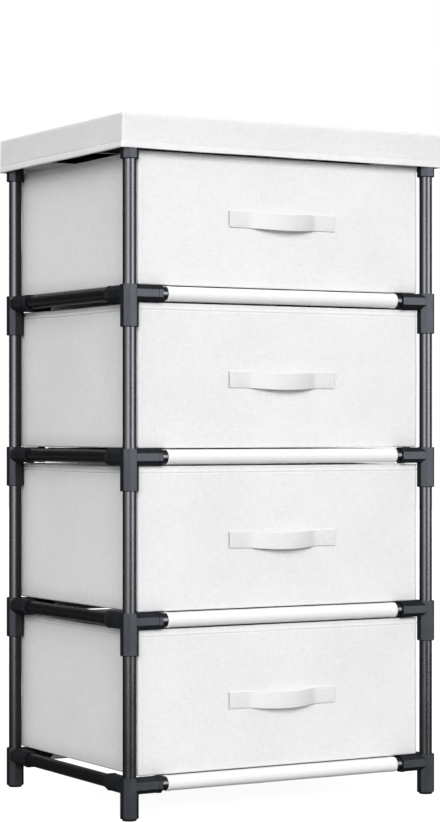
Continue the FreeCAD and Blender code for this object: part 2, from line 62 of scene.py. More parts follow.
BIN_CLOTH = 0.002           # the sewn walls, outer cloth and lining together
BIN_SKIN = 0.001            # one cloth of the front wall's board pocket
BIN_FRONT_WALL = 0.0056
BIN_FLOOR = 0.0015
BIN_EDGE = 0.002            # rounding of the floor's edge
BIN_HEM = 0.0078            # height of the rim's hem
BIN_HEM_PROUD = 0.0004
BIN_CORNER = 0.0025         # rounding of the upright corners
BIN_SLACK = 0.0012          # how far the slack walls hang in
BIN_WAVE = 0.0011           # size and length of their soft waves
BIN_WAVE_LENGTH = 0.07
BIN_CREASE = 0.00022        # size and length of their small creases
BIN_CREASE_LENGTH = 0.022
RIM_DIP = 0.0009            # how far the rim sinks halfway along the sides
CORNER_SEAM = 0.0004        # how far a corner seam stands out
CORNER_SEAM_IN = 0.0045     # how far it lies in from the corner
CORNER_SEAM_WIDTH = 0.0016
POCKET_MOUTH = 0.014        # height of the board pocket's mouth above the floor

STRAP_CLOTH = 0.0015
STRAP_TAB = 0.025           # length of a sewn end
STRAP_TAB_FOLD = 1.2        # how much thicker the sewn ends are
STRAP_TAB_RAMP = 0.006      # length over which they thicken
STRAP_BEND = 0.025          # bend radius where the strap leaves the front
STRAP_SLACK = 0.82          # share of the free bow that the strap keeps at rest
STRAP_DROOP = 0.0022        # the free middle hangs lower than the sewn ends
STRAP_LEAN = 0.0010         # its upper edge leans in, the lower one out

SLEEVE_CLOTH = 0.0006
SLEEVE_SEAM = 0.022         # where the sleeve's seam starts behind the tube's axis
SLEEVE_ALLOWANCE = 0.012    # cloth past the seam
SHELF_SAG = 0.0015
SEAM_SAG = 0.28             # share of the sag where the sleeve's seam lies
ALLOWANCE_DEPTH = 1.15      # how far under the cloth the allowance lies, in cloths

STITCH = 0.0032
STITCH_PITCH = 0.0042
THREAD = 0.00028            # thread radius
MOULDED_EDGE = 0.0005       # rounding of the mouldings' edges

# ---------------------------------------------------------------- materials


def socket(tree, target, value):
    """Set a socket, or link it when the value is another node's output."""
    if isinstance(value, bpy.types.NodeSocket):
        tree.links.new(value, target)
    else:
        target.default_value = value


def add_node(tree, kind, inputs=None, **settings):
    node = tree.nodes.new(kind)
    for name, value in settings.items():
        setattr(node, name, value)
    for name, value in (inputs or {}).items():
        socket(tree, node.inputs[name], value)
    return node


def new_material(name):
    """A new material, its node tree, its Principled shader and the object coordinates."""
    material = bpy.data.materials.new(name)
    material.use_nodes = True
    tree = material.node_tree
    tree.nodes.clear()
    shader = add_node(tree, "ShaderNodeBsdfPrincipled")
    output = add_node(tree, "ShaderNodeOutputMaterial")
    tree.links.new(shader.outputs["BSDF"], output.inputs["Surface"])
    place = add_node(tree, "ShaderNodeTexCoord").outputs["Object"]
    return material, tree, shader, place


def stretched_noise(tree, place, scale, detail=2.0):
    """Noise with its own number of features per metre along each axis."""
    mapped = add_node(tree, "ShaderNodeMapping", {"Vector": place, "Scale": scale}).outputs["Vector"]
    texture = add_node(tree, "ShaderNodeTexNoise", {"Vector": mapped, "Scale": 1.0, "Detail": detail})
    return texture.outputs["Fac"]


def average(tree, values):
    total = values[0]
    for value in values[1:]:
        total = add_node(tree, "ShaderNodeMath", {0: total, 1: value}, operation="ADD").outputs[0]
    count = float(len(values))
    return add_node(tree, "ShaderNodeMath", {0: total, 1: count}, operation="DIVIDE").outputs[0]


def threads(tree, place, fine, long, detail=2.0):
    """Threads along all three axes: any face shows the two that lie in it."""
    scales = ((long, fine, fine), (fine, long, fine), (fine, fine, long))
    return average(tree, [stretched_noise(tree, place, scale, detail) for scale in scales])


def shade_between(tree, factor, low, high, dark, light):
    """A colour between two others, as the factor goes from low to high."""
    spread = add_node(tree, "ShaderNodeMapRange", {"Value": factor, "From Min": low, "From Max": high})
    mix = add_node(tree, "ShaderNodeMix", data_type="RGBA")
    socket(tree, mix.inputs["Factor"], spread.outputs["Result"])
    colour_inputs = [item for item in mix.inputs if item.type == "RGBA"]
    colour_inputs[0].default_value = (*dark, 1.0)
    colour_inputs[1].default_value = (*light, 1.0)
    return next(item for item in mix.outputs if item.type == "RGBA")


def tint(colour, share):
    return tuple(channel * share for channel in colour)


def bump(tree, height, strength, distance):
    return add_node(tree, "ShaderNodeBump", {
        "Height": height, "Strength": strength, "Distance": distance,
    }).outputs["Normal"]


def fabric(name, colour, fine=1300.0, contrast=0.06, relief=0.5, thin=0.0):
    """Linen-look cloth: fine threads, a few thick slubs and a faint cloudiness."""
    material, tree, shader, place = new_material(name)
    weave = threads(tree, place, fine, fine / 26)
    slubs = threads(tree, place, fine / 2.6, fine / 14, detail=1.0)
    clouds = stretched_noise(tree, place, (9.0, 9.0, 9.0), detail=3.0)
    look = average(tree, [weave, slubs, slubs, clouds])
    dark, light = tint(colour, 1 - contrast), tint(colour, 1 + contrast)
    socket(tree, shader.inputs["Base Color"], shade_between(tree, look, 0.40, 0.60, dark, light))
    height = average(tree, [weave, weave, slubs])
    socket(tree, shader.inputs["Normal"], bump(tree, height, relief, 0.0004))
    shader.inputs["Roughness"].default_value = 0.92
    shader.inputs["Specular IOR Level"].default_value = 0.12
    shader.inputs["Sheen Weight"].default_value = 0.05
    shader.inputs["Subsurface Weight"].default_value = thin
    shader.inputs["Subsurface Radius"].default_value = (1.0, 1.0, 1.0)
    shader.inputs["Subsurface Scale"].default_value = 0.003
    return material


def half_metal(shader, share):
    """Give part of the shine a metal's law, which stays dark where the surface turns away."""
    shader.inputs["Metallic"].default_value = share
    shader.inputs["Specular Tint"].default_value = (0.6, 0.6, 0.6, 1.0)
    shader.inputs["Specular IOR Level"].default_value = 0.0


def tube_paint():
    """Dark powder-coated steel: a fine orange peel and a slightly uneven gloss."""
    material, tree, shader, place = new_material("tube_paint")
    peel = stretched_noise(tree, place, (1400.0, 1400.0, 1400.0))
    cloud = stretched_noise(tree, place, (60.0, 60.0, 25.0), detail=4.0)
    dark, light = (0.0250, 0.0257, 0.0277), (0.0270, 0.0278, 0.0301)
    socket(tree, shader.inputs["Base Color"], shade_between(tree, cloud, 0.35, 0.65, dark, light))
    gloss = add_node(tree, "ShaderNodeMapRange", {
        "Value": cloud, "From Min": 0.3, "From Max": 0.7, "To Min": 0.26, "To Max": 0.29,
    })
    socket(tree, shader.inputs["Roughness"], gloss.outputs["Result"])
    socket(tree, shader.inputs["Normal"], bump(tree, peel, 0.035, 0.0002))
    half_metal(shader, 0.78)
    return material


def moulded_plastic(name, colour, roughness, shine):
    """Moulded plastic: a spark-eroded grain, soft edges and faint flow marks."""
    material, tree, shader, place = new_material(name)
    grain = stretched_noise(tree, place, (2600.0, 2600.0, 2600.0), detail=3.0)
    flow = stretched_noise(tree, place, (70.0, 70.0, 30.0), detail=4.0)
    dark, light = tint(colour, 0.86), tint(colour, 1.14)
    socket(tree, shader.inputs["Base Color"], shade_between(tree, flow, 0.35, 0.65, dark, light))
    rounded = add_node(tree, "ShaderNodeBevel", {"Radius": MOULDED_EDGE}, samples=6).outputs["Normal"]
    surface = add_node(tree, "ShaderNodeBump", {
        "Height": grain, "Strength": 0.18, "Distance": 0.0002, "Normal": rounded,
    })
    socket(tree, shader.inputs["Normal"], surface.outputs["Normal"])
    uneven = add_node(tree, "ShaderNodeMapRange", {
        "Value": flow, "From Min": 0.3, "From Max": 0.7,
        "To Min": roughness - 0.05, "To Max": roughness + 0.05,
    })
    socket(tree, shader.inputs["Roughness"], uneven.outputs["Result"])
    half_metal(shader, shine)
    return material


def fibre_board(name, colour):
    """Pressed board: short fibres in all directions on a mottled ground."""
    material, tree, shader, place = new_material(name)
    fibres = threads(tree, place, 900.0, 160.0)
    mottle = stretched_noise(tree, place, (140.0, 140.0, 140.0), detail=5.0)
    look = average(tree, [fibres, mottle])
    dark, light = tint(colour, 0.72), tint(colour, 1.2)
    socket(tree, shader.inputs["Base Color"], shade_between(tree, look, 0.38, 0.62, dark, light))
    socket(tree, shader.inputs["Normal"], bump(tree, fibres, 0.4, 0.0003))
    shader.inputs["Roughness"].default_value = 0.85
    shader.inputs["Specular IOR Level"].default_value = 0.2
    return material


WHITE = (0.865, 0.865, 0.868)
cover_cloth = fabric("cover_cloth", (0.885, 0.885, 0.888), thin=0.5)
drawer_cloth = fabric("drawer_cloth", WHITE)
# Painted highlight: a whiter copy of the drawer cloth for the hem's ridge, standing in for the light the
# ridge catches.
painted_highlight_hem_cloth = fabric("painted_highlight_hem_cloth", (0.97, 0.97, 0.97), contrast=0.02)
# Painted shade: the straps are the drawers' white cloth painted darker, offsetting the extra light their
# bowed middles catch.
strap_cloth = fabric("strap_cloth", (0.802, 0.802, 0.805), fine=1600.0, contrast=0.04)
# Dark lining cloth: the bins' lining and undersides, partly their own colour and partly painted shade that
# darkens the gaps between drawers and shelves; on the straps' end faces it is painted shade only.
lining_and_shade_cloth = fabric("lining_and_shade_cloth", (0.16, 0.16, 0.165), fine=1800.0, contrast=0.12)
shelf_cloth = fabric("shelf_cloth", (0.93, 0.93, 0.93), fine=2200.0, contrast=0.02, relief=0.3)
thread_cotton = fabric("thread_cotton", (0.88, 0.88, 0.88), fine=5000.0, contrast=0.08)
tube_metal = tube_paint()
connector_plastic = moulded_plastic("connector_plastic_look", (0.0218, 0.0238, 0.0268), 0.40, 0.35)
plug_plastic = moulded_plastic("plug_plastic_look", (0.024, 0.024, 0.025), 0.6, 0.2)
board_fibre = fibre_board("board_fibre", (0.36, 0.29, 0.21))
board_white = fibre_board("board_white", (0.74, 0.73, 0.71))

NODE_MATERIALS = {
    "tube_metal": tube_metal,
    "connector_plastic": connector_plastic,
    "plug_plastic": plug_plastic,
    "top_board": board_white,
    "stiffener_board": board_fibre,
}
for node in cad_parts.values():
    for holder in node.material_slots:
        if holder.material and holder.material.name in NODE_MATERIALS:
            holder.material = NODE_MATERIALS[holder.material.name]

# ---------------------------------------------------------------- mesh helpers


def calm(out, front):
    """Share of a hem's relief: the front is pressed flatter than the sides and the rear."""
    return 1 - (1 - front) * max(0.0, -out.y)


def outward(points, faces):
    """The faces of a closed skin, wound so that they look out of it."""
    volume = 0.0
    for face in faces:
        for second, third in zip(face[1:], face[2:]):
            volume += points[face[0]].dot(points[second].cross(points[third]))
    return faces if volume > 0 else [face[::-1] for face in faces]


def new_piece(name, points, faces, material, body):
    """A smooth mesh that rides on a body."""
    mesh = bpy.data.meshes.new(name)
    mesh.from_pydata(points, [], outward(points, faces))
    mesh.materials.append(material)
    mesh.polygons.foreach_set("use_smooth", [True] * len(mesh.polygons))
    piece = bpy.data.objects.new(name, mesh)
    bpy.context.scene.collection.objects.link(piece)
    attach(piece, body)
    return piece


def level_ring(low, high, radius, z):
    """Points round a level rounded rectangle from its front left corner, each with its way out."""
    left, front = low[0] + radius, low[1] + radius
    right, rear = high[0] - radius, high[1] - radius
    corners = ((left, front, 180), (right, front, 270), (right, rear, 0), (left, rear, 90))
    points = []
    for index, (x, y, start) in enumerate(corners):
        centre = Vector((x, y, z))
        for step in range(CORNER_STEPS + 1):
            angle = radians(start + 90 * step / CORNER_STEPS)
            out = Vector((cos(angle), sin(angle), 0))
            points.append((centre + radius * out, out))
        following = corners[(index + 1) % 4]
        end = Vector((following[0], following[1], z))
        steps = SIDE_STEPS[index % 2]
        for step in range(1, steps):
            share = step / steps
            share -= CROWDING * sin(2 * pi * share) / (2 * pi)
            points.append((centre.lerp(end, share) + radius * out, out))
    return points


def bare(ring):
    """The points of a ring, without their ways out."""
    return [point for point, out in ring]


def shrunk(ring, share, z):
    """The ring drawn in towards its middle, at another height."""
    middle = sum((point for point, out in ring), Vector()) / len(ring)
    points = [middle.lerp(point, share) for point, out in ring]
    return [Vector((point.x, point.y, z)) for point in points]


def loft(rings):
    """Points and faces of a closed skin over rings with as many points each."""
    count = len(rings[0])
    points = [point for ring in rings for point in ring]
    faces = [list(range(count))[::-1]]
    for level in range(len(rings) - 1):
        first, second = level * count, (level + 1) * count
        for index in range(count):
            following = (index + 1) % count
            faces.append((first + index, first + following, second + following, second + index))
    faces.append(list(range((len(rings) - 1) * count, len(rings) * count)))
    return points, faces


def line_rings(piece, material, count, spans, front=True):
    """Give spans of rings another material; front=False leaves out the faces that look forwards."""
    piece.data.materials.append(material)
    slot = len(piece.data.materials) - 1
    for polygon in piece.data.polygons:
        ring = (polygon.index - 1) // count
        if any(first <= ring < last for first, last in spans) and (front or polygon.normal.y > -0.7):
            polygon.material_index = slot


def soft(place, pitch, size, seed=0.0):
    """A smooth random push: its usual wave length and its largest size."""
    return size * noise.noise(place / pitch + Vector((seed, seed, seed)))


def stitches(lines):
    """Points and faces of short threads, given as (start, end, way out).

    A thread has a point at each end and three squares of four points between them.
    """
    points, faces = [], []
    for start, end, out in lines:
        along = end - start
        across = along.cross(out).normalized() * THREAD
        up = out.normalized() * THREAD
        base = len(points)
        points.append(start - up)
        for share in (0.15, 0.5, 0.85):
            middle = start + share * along
            for side, rise in ((1, 0.0), (0, 1.3), (-1, 0.0), (0, -0.8)):
                points.append(middle + side * across + rise * up)
        points.append(end - up)
        tip = base + 13
        for step in range(4):
            following = (step + 1) % 4
            faces.append((base, base + 1 + following, base + 1 + step))
            for row in (1, 5):
                faces.append((base + row + step, base + row + following,
                              base + row + 4 + following, base + row + 4 + step))
            faces.append((tip, base + 9 + step, base + 9 + following))
    return points, faces


def seam(path):
    """Stitches along straight runs between (point, way out) pairs, none of them round a corner."""
    lines = []
    travelled = 0.0
    following = 0.0
    for (start, out), (end, last_out) in zip(path, path[1:]):
        length = (end - start).length
        while following + STITCH <= travelled + length:
            direction = (end - start) / length
            first = start + (following - travelled) * direction
            lines.append((first, first + STITCH * direction, out))
            following += STITCH_PITCH
        travelled += length
        following = max(following, travelled)
    return lines


def long_seam(path, closed=False):
    """Stitches along a path whose points are closer together than a stitch."""
    if closed:
        path = path + path[:1]
    reach = [0.0]
    for (start, out), (end, last_out) in zip(path, path[1:]):
        reach.append(reach[-1] + (end - start).length)

    def at(distance):
        index = next((i for i in range(1, len(reach)) if reach[i] >= distance), len(reach) - 1)
        span = reach[index] - reach[index - 1]
        share = (distance - reach[index - 1]) / span if span else 0.0
        return path[index - 1][0].lerp(path[index][0], share), path[index - 1][1]

    lines = []
    for number in range(int(reach[-1] / STITCH_PITCH)):
        start, out = at(number * STITCH_PITCH)
        end, last_out = at(number * STITCH_PITCH + STITCH)
        lines.append((start, end, out))
    return lines


# ---------------------------------------------------------------- top cover


def top_cover():
    """Fitted cloth cover: flat top, soft edge, skirt that flares a little, rolled and stitched hem."""
    low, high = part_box("top_cover")
    proud = Vector((COVER_HEM_PROUD, COVER_HEM_PROUD, 0))
    skirt_low, skirt_high = low + proud, high - proud
    top, bottom = high.z, low.z
    drop = top - bottom

    def ring(outset, z, relief=0.0):
        grow = Vector((outset, outset, 0))
        flat = level_ring(skirt_low - grow, skirt_high + grow, COVER_CORNER, z)
        slack = min(1.0, (top - z) / drop)
        moved = []
        for point, out in flat:
            push = COVER_FLARE * slack ** 2 + relief * calm(out, 0.25)
            push += soft(point, COVER_WAVE_LENGTH, COVER_WAVE * slack + 0.0002)
            rise = soft(point + Vector((0, 0, 0.4)), 0.09, 0.0006 * slack)
            moved.append((point + push * out + Vector((0, 0, rise)), out))
        return moved

    edge = ring(-COVER_EDGE, top)
    rings = [shrunk(edge, share, top) for share in (0.02, 0.3, 0.6, 0.85, 0.96)]
    rings.append(bare(edge))
    for step in range(1, 5):
        angle = radians(90 * step / 4)
        row = ring(COVER_EDGE * (sin(angle) - 1), top - COVER_EDGE * (1 - cos(angle)))
        rings.append(bare(row))
    groove = bottom + COVER_HEM
    hem_top = groove + 0.0030
    rows = 7
    for step in range(1, rows):
        z = top - COVER_EDGE + (hem_top - top + COVER_EDGE) * step / rows
        rings.append(bare(ring(0.0, z)))
    stitch_row = ring(-0.0001, groove + 0.0016)
    hem_thickness = 2 * COVER_CLOTH
    hem = (                                      # relief and height, down to the lower edge
        (0.0, hem_top), (0.0, groove + 0.0014), (-0.0005, groove + 0.0005),
        (0.0003, groove - 0.0004), (0.0004, groove - 0.0012),
        (0.0006, bottom + 0.0020), (0.0006, bottom + 0.0010),
    )
    for relief, z in hem:
        rings.append(bare(ring(0.0, z, relief)))
    turned = (                                   # outset and height, round the edge and up the inside
        (0.0002, bottom + 0.0003), (-0.0006, bottom), (-hem_thickness + 0.0006, bottom),
        (-hem_thickness, bottom + 0.0008), (-hem_thickness, groove), (-COVER_CLOTH, groove + 0.001),
        (-COVER_CLOTH, groove + 0.012), (-COVER_CLOTH, top - 0.010), (-COVER_CLOTH, top - 0.004),
    )
    for outset, z in turned:
        rings.append(bare(ring(outset, z)))
    inner = ring(-COVER_CLOTH - 0.0006, top - COVER_CLOTH)
    rings.append(bare(inner))
    rings += [shrunk(inner, share, top - COVER_CLOTH) for share in (0.9, 0.5, 0.02)]
    points, faces = loft(rings)
    cover = new_piece("top_cover_cloth", points, faces, cover_cloth, "frame")
    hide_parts("top_cover")
    points, faces = stitches(long_seam(stitch_row, closed=True))
    thread = new_piece("top_cover_stitching", points, faces, thread_cotton, "frame")


# ---------------------------------------------------------------- drawers


def drawer_bin(tier):
    """Sewn box: taut board front, slacker sides, rolled hem round the rim, pocket for the front board."""
    low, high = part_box(f"drawer_{tier}_bin")
    proud = Vector((BIN_HEM_PROUD, BIN_HEM_PROUD, 0))
    low, high = low + proud, high - proud
    top, bottom = high.z, low.z
    middle = (low + high) / 2
    half = (high - low) / 2

    def slackness(point, out, z):
        """How far the cloth stands out from flat: the sides hang a little inwards, the front is stiff."""
        rise = min(1.0, max(0.0, (z - bottom) / (top - bottom)))
        belly = sin(pi * rise)
        sideways, forwards = abs(out.x), max(0.0, -out.y)
        along = 1 - ((point.y - middle.y) / half.y) ** 2
        across = 1 - ((point.x - middle.x) / half.x) ** 2
        loose = sideways * along + (1 - forwards) * abs(out.y) * across
        push = -BIN_SLACK * belly * max(0.0, loose)
        push += soft(point, BIN_WAVE_LENGTH, BIN_WAVE * belly * (1 - 0.75 * forwards), seed=3.0 * tier)
        push += soft(point, BIN_CREASE_LENGTH, BIN_CREASE * belly, seed=5.0 * tier)
        return push

    def seam_ridge(point, out):
        """The corner seams stand a little proud."""
        from_side, from_end = half.x - abs(point.x - middle.x), half.y - abs(point.y - middle.y)
        inset, near = min(from_side, from_end), max(from_side, from_end)
        if inset >= 0.004:
            return 0.0
        return CORNER_SEAM * exp(-((near - CORNER_SEAM_IN) / CORNER_SEAM_WIDTH) ** 2)

    def ring(outset, z, front_wall=0.0, ridge=True, relief=0.0):
        """outset is from the outer face; front_wall is how far the front lies further in."""
        grow = Vector((outset, outset, 0))
        ring_low = low - grow + Vector((0, front_wall, 0))
        flat = level_ring(ring_low, high + grow, max(0.0008, BIN_CORNER + outset), z)
        moved = []
        for point, out in flat:
            push = slackness(point, out, z) + (seam_ridge(point, out) if ridge else 0.0)
            push += relief * (0.1 if tier == 1 else calm(out, 0.3))
            dip = 0.0
            if z > top - 2 * BIN_HEM:
                share = abs(out.x) * (1 - ((point.y - middle.y) / half.y) ** 2)
                dip = -RIM_DIP * share + soft(point, 0.08, 0.0005 * (1 - max(0.0, -out.y)), seed=tier)
            moved.append((point + push * out + Vector((0, 0, dip)), out))
        return moved

    groove = top - BIN_HEM
    foot = ring(-BIN_EDGE, bottom, ridge=False)
    rings = [shrunk(foot, share, bottom) for share in (0.02, 0.4, 0.8)]
    rings.append(bare(foot))
    rings.append(bare(ring(-0.0006, bottom + 0.0006)))
    rings.append(bare(ring(0.0, bottom + BIN_EDGE)))
    rows = 9
    for step in range(1, rows + 1):
        z = bottom + BIN_EDGE + (groove - 0.0030 - bottom - BIN_EDGE) * step / rows
        rings.append(bare(ring(0.0, z)))
    hem = (                                      # relief and height, up to the rim
        (0.0, groove - 0.0018), (-0.0003, groove - 0.0006), (-0.0006, groove - 0.0003),
        (-0.0004, groove - 0.0002), (0.0009, groove + 0.0004), (0.0011, groove + 0.0006),
        (0.0011, groove + 0.0016), (0.0006, groove + 0.0024), (0.0, groove + 0.0032),
        (-0.0003, groove + 0.0040), (0.0, groove + 0.0050), (0.0007, top - 0.0014),
        (0.0009, top - 0.0008), (0.0008, top - 0.0002),
    )
    highlight_ring_start = len(rings) + 4
    for relief, z in hem:
        rings.append(bare(ring(0.0, z, relief=relief)))
    rings.append(bare(ring(-0.0005, top)))
    lining_wall = BIN_FRONT_WALL - BIN_CLOTH
    pocket_wall = BIN_SKIN - BIN_CLOTH
    inner = (                                    # outset, height and front wall, down the inside
        (-BIN_CLOTH + 0.0005, top, lining_wall), (-BIN_CLOTH, top - 0.0008, lining_wall),
        (-BIN_CLOTH, groove, lining_wall), (-BIN_CLOTH, groove - 0.0002, pocket_wall),
    )
    for outset, z, wall in inner:
        rings.append(bare(ring(outset, z, wall, ridge=False)))
    lined = len(rings) - 1
    floor = bottom + BIN_FLOOR
    rows = 6
    for step in range(1, rows + 1):
        z = groove - 0.0002 + (floor + 0.001 - groove) * step / rows
        rings.append(bare(ring(-BIN_CLOTH, z, pocket_wall, ridge=False)))
    floor_ring = ring(-BIN_CLOTH - 0.001, floor, pocket_wall, ridge=False)
    rings.append(bare(floor_ring))
    rings += [shrunk(floor_ring, share, floor) for share in (0.7, 0.3, 0.02)]
    points, faces = loft(rings)
    body = f"drawer_{tier}"
    piece = new_piece(f"drawer_{tier}_cloth", points, faces, drawer_cloth, body)
    # Painted shade, in part: the dark lining cloth under the floor and down the inside below the hem stands
    # for the lining and also darkens the gaps between the drawers and the shelves.
    line_rings(piece, lining_and_shade_cloth, len(rings[0]), ((-1, 3), (lined, len(rings))))
    # Painted highlight: the hem's ridge on the sides and the rear gets the whiter cloth; the faces that
    # look forwards keep the drawer cloth.
    if tier > 1:
        line_rings(piece, painted_highlight_hem_cloth, len(rings[0]), ((highlight_ring_start, highlight_ring_start + 4),), front=False)
    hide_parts(f"drawer_{tier}_bin")

    points, faces = stitches(long_seam(ring(-0.0001, groove - 0.0024), closed=True))
    new_piece(f"drawer_{tier}_hem_stitching", points, faces, thread_cotton, body)
    pocket_lining(tier, low, high, groove, floor)


def pocket_lining(tier, low, high, hem, floor):
    """The inner cloth of the front wall's board pocket; its lower edge is the pocket's mouth."""
    half = (high.x - low.x) / 2 - BIN_CLOTH - 0.0004
    face = low.y + BIN_FRONT_WALL
    back = face - BIN_SKIN
    columns, rows = 48, 8
    mouth = floor + POCKET_MOUTH
    points = []
    for side, y in enumerate((back, face)):
        for row in range(rows + 1):
            z = mouth + (hem + 0.0015 - mouth) * row / rows
            for column in range(columns + 1):
                x = -half + 2 * half * column / columns
                place = Vector((x, y, z))
                sag = (1 - row / rows) * soft(Vector((x, tier, z)), 0.06, 0.0012)
                points.append(place + Vector((0, max(0.0, sag) + 0.0002 * side, 0.5 * sag)))
    width = columns + 1
    layer = width * (rows + 1)
    faces = []
    for row in range(rows):
        for column in range(columns):
            first = row * width + column
            quad = (first, first + 1, first + 1 + width, first + width)
            faces.append(quad)
            faces.append(tuple(layer + index for index in quad[::-1]))
    rim = list(range(width))
    rim += [row * width + columns for row in range(1, rows + 1)]
    rim += [rows * width + column for column in range(columns - 1, -1, -1)]
    rim += [row * width for row in range(rows - 1, 0, -1)]
    for first, second in zip(rim, rim[1:] + rim[:1]):
        faces.append((second, first, layer + first, layer + second))
    body = f"drawer_{tier}"
    new_piece(f"drawer_{tier}_pocket_lining", points, faces, lining_and_shade_cloth, body)


def strap_line(bow, half_span):
    """The strap's middle line from left to right: (x, how far out, angle turned out)."""
    turn = 2 * atan(bow / half_span)
    arch = half_span / sin(turn) - STRAP_BEND
    end = half_span + STRAP_TAB
    line = [(-end, 0.0, 0.0), (-end + 0.0002, 0.0, 0.0)]
    line += [(-end + STRAP_TAB * step / 8, 0.0, 0.0) for step in range(1, 8)]
    steps = 7
    for step in range(steps + 1):
        angle = turn * step / steps
        line.append((-half_span + STRAP_BEND * sin(angle), STRAP_BEND * (1 - cos(angle)), angle))
    left_end = list(line)
    steps = 26
    for step in range(1, steps):
        angle = turn - 2 * turn * step / steps
        line.append((-arch * sin(angle), bow - arch * (1 - cos(angle)), angle))
    line += [(-x, out, -angle) for x, out, angle in reversed(left_end)]
    return line


def handle_strap(tier):
    """A strap sewn flat at its ends; its free middle bows out and droops."""
    low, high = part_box(f"drawer_{tier}_handle_strap")
    back = high.y
    bow = STRAP_SLACK * (back - low.y - STRAP_CLOTH)
    half_span = (high.x - low.x) / 2 - STRAP_TAB
    height = high.z - low.z
    thick = STRAP_CLOTH / 2
    section = (                                  # from edge to edge: place, and how full the cloth is
        (-1.0, 0.35), (-0.97, 0.8), (-0.90, 1.0), (-0.84, 0.86), (-0.78, 1.0), (-0.4, 1.06), (0.0, 1.1),
        (0.4, 1.06), (0.78, 1.0), (0.84, 0.86), (0.90, 1.0), (0.97, 0.8), (1.0, 0.35),
    )
    rings = []
    for x, out, angle in strap_line(bow, half_span):
        free = max(0.0, 1 - (x / half_span) ** 2)
        droop = STRAP_DROOP * free ** 1.5
        sewn = min(1.0, max(0.0, abs(x) - half_span) / STRAP_TAB_RAMP)
        fold = 1.0 + (STRAP_TAB_FOLD - 1) * sewn
        middle = Vector((x, back - thick * fold - out, (low.z + high.z) / 2 - droop))
        way = Vector((sin(-angle), -cos(angle), 0))
        lean = STRAP_LEAN * free
        ring = []
        for share, fullness in section:
            place = middle + Vector((0, 0, share * height / 2)) - lean * share * way
            ring.append(place + fullness * fold * thick * way + soft(middle, 0.03, 0.0004 * free) * way)
        for share, fullness in reversed(section):
            place = middle + Vector((0, 0, share * height / 2)) - lean * share * way
            ring.append(place - min(1.0, fullness) * fold * thick * way)
        rings.append(ring)
    points, faces = loft(rings)
    body = f"drawer_{tier}"
    strap = new_piece(f"drawer_{tier}_strap", points, faces, strap_cloth, body)
    # Painted shade: the two flat end faces get the dark lining cloth, standing in for the shade at the
    # strap's open folded ends.
    strap.data.materials.append(lining_and_shade_cloth)    # the shade in the open ends of the folded cloth
    for end in (0, -1):
        strap.data.polygons[end].use_smooth = False
        strap.data.polygons[end].material_index = 1
    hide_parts(f"drawer_{tier}_handle_strap")

    lines = []
    front = back - 2 * thick * STRAP_TAB_FOLD - 0.0001
    out = Vector((0, -1, 0))
    rise = height / 2 - 0.0028
    centre_z = (low.z + high.z) / 2
    for side in (-1, 1):
        near, far = side * (half_span + 0.005), side * (half_span + STRAP_TAB - 0.003)
        box = [(near, -rise), (far, -rise), (far, rise), (near, rise), (near, -rise)]
        for corners in (box + [(far, rise)], [(near, rise), (far, -rise)]):
            path = [(Vector((x, front, centre_z + z)), out) for x, z in corners]
            lines += seam(path)
    points, faces = stitches(lines)
    new_piece(f"drawer_{tier}_strap_stitching", points, faces, thread_cotton, body)


# ---------------------------------------------------------------- fabric shelves


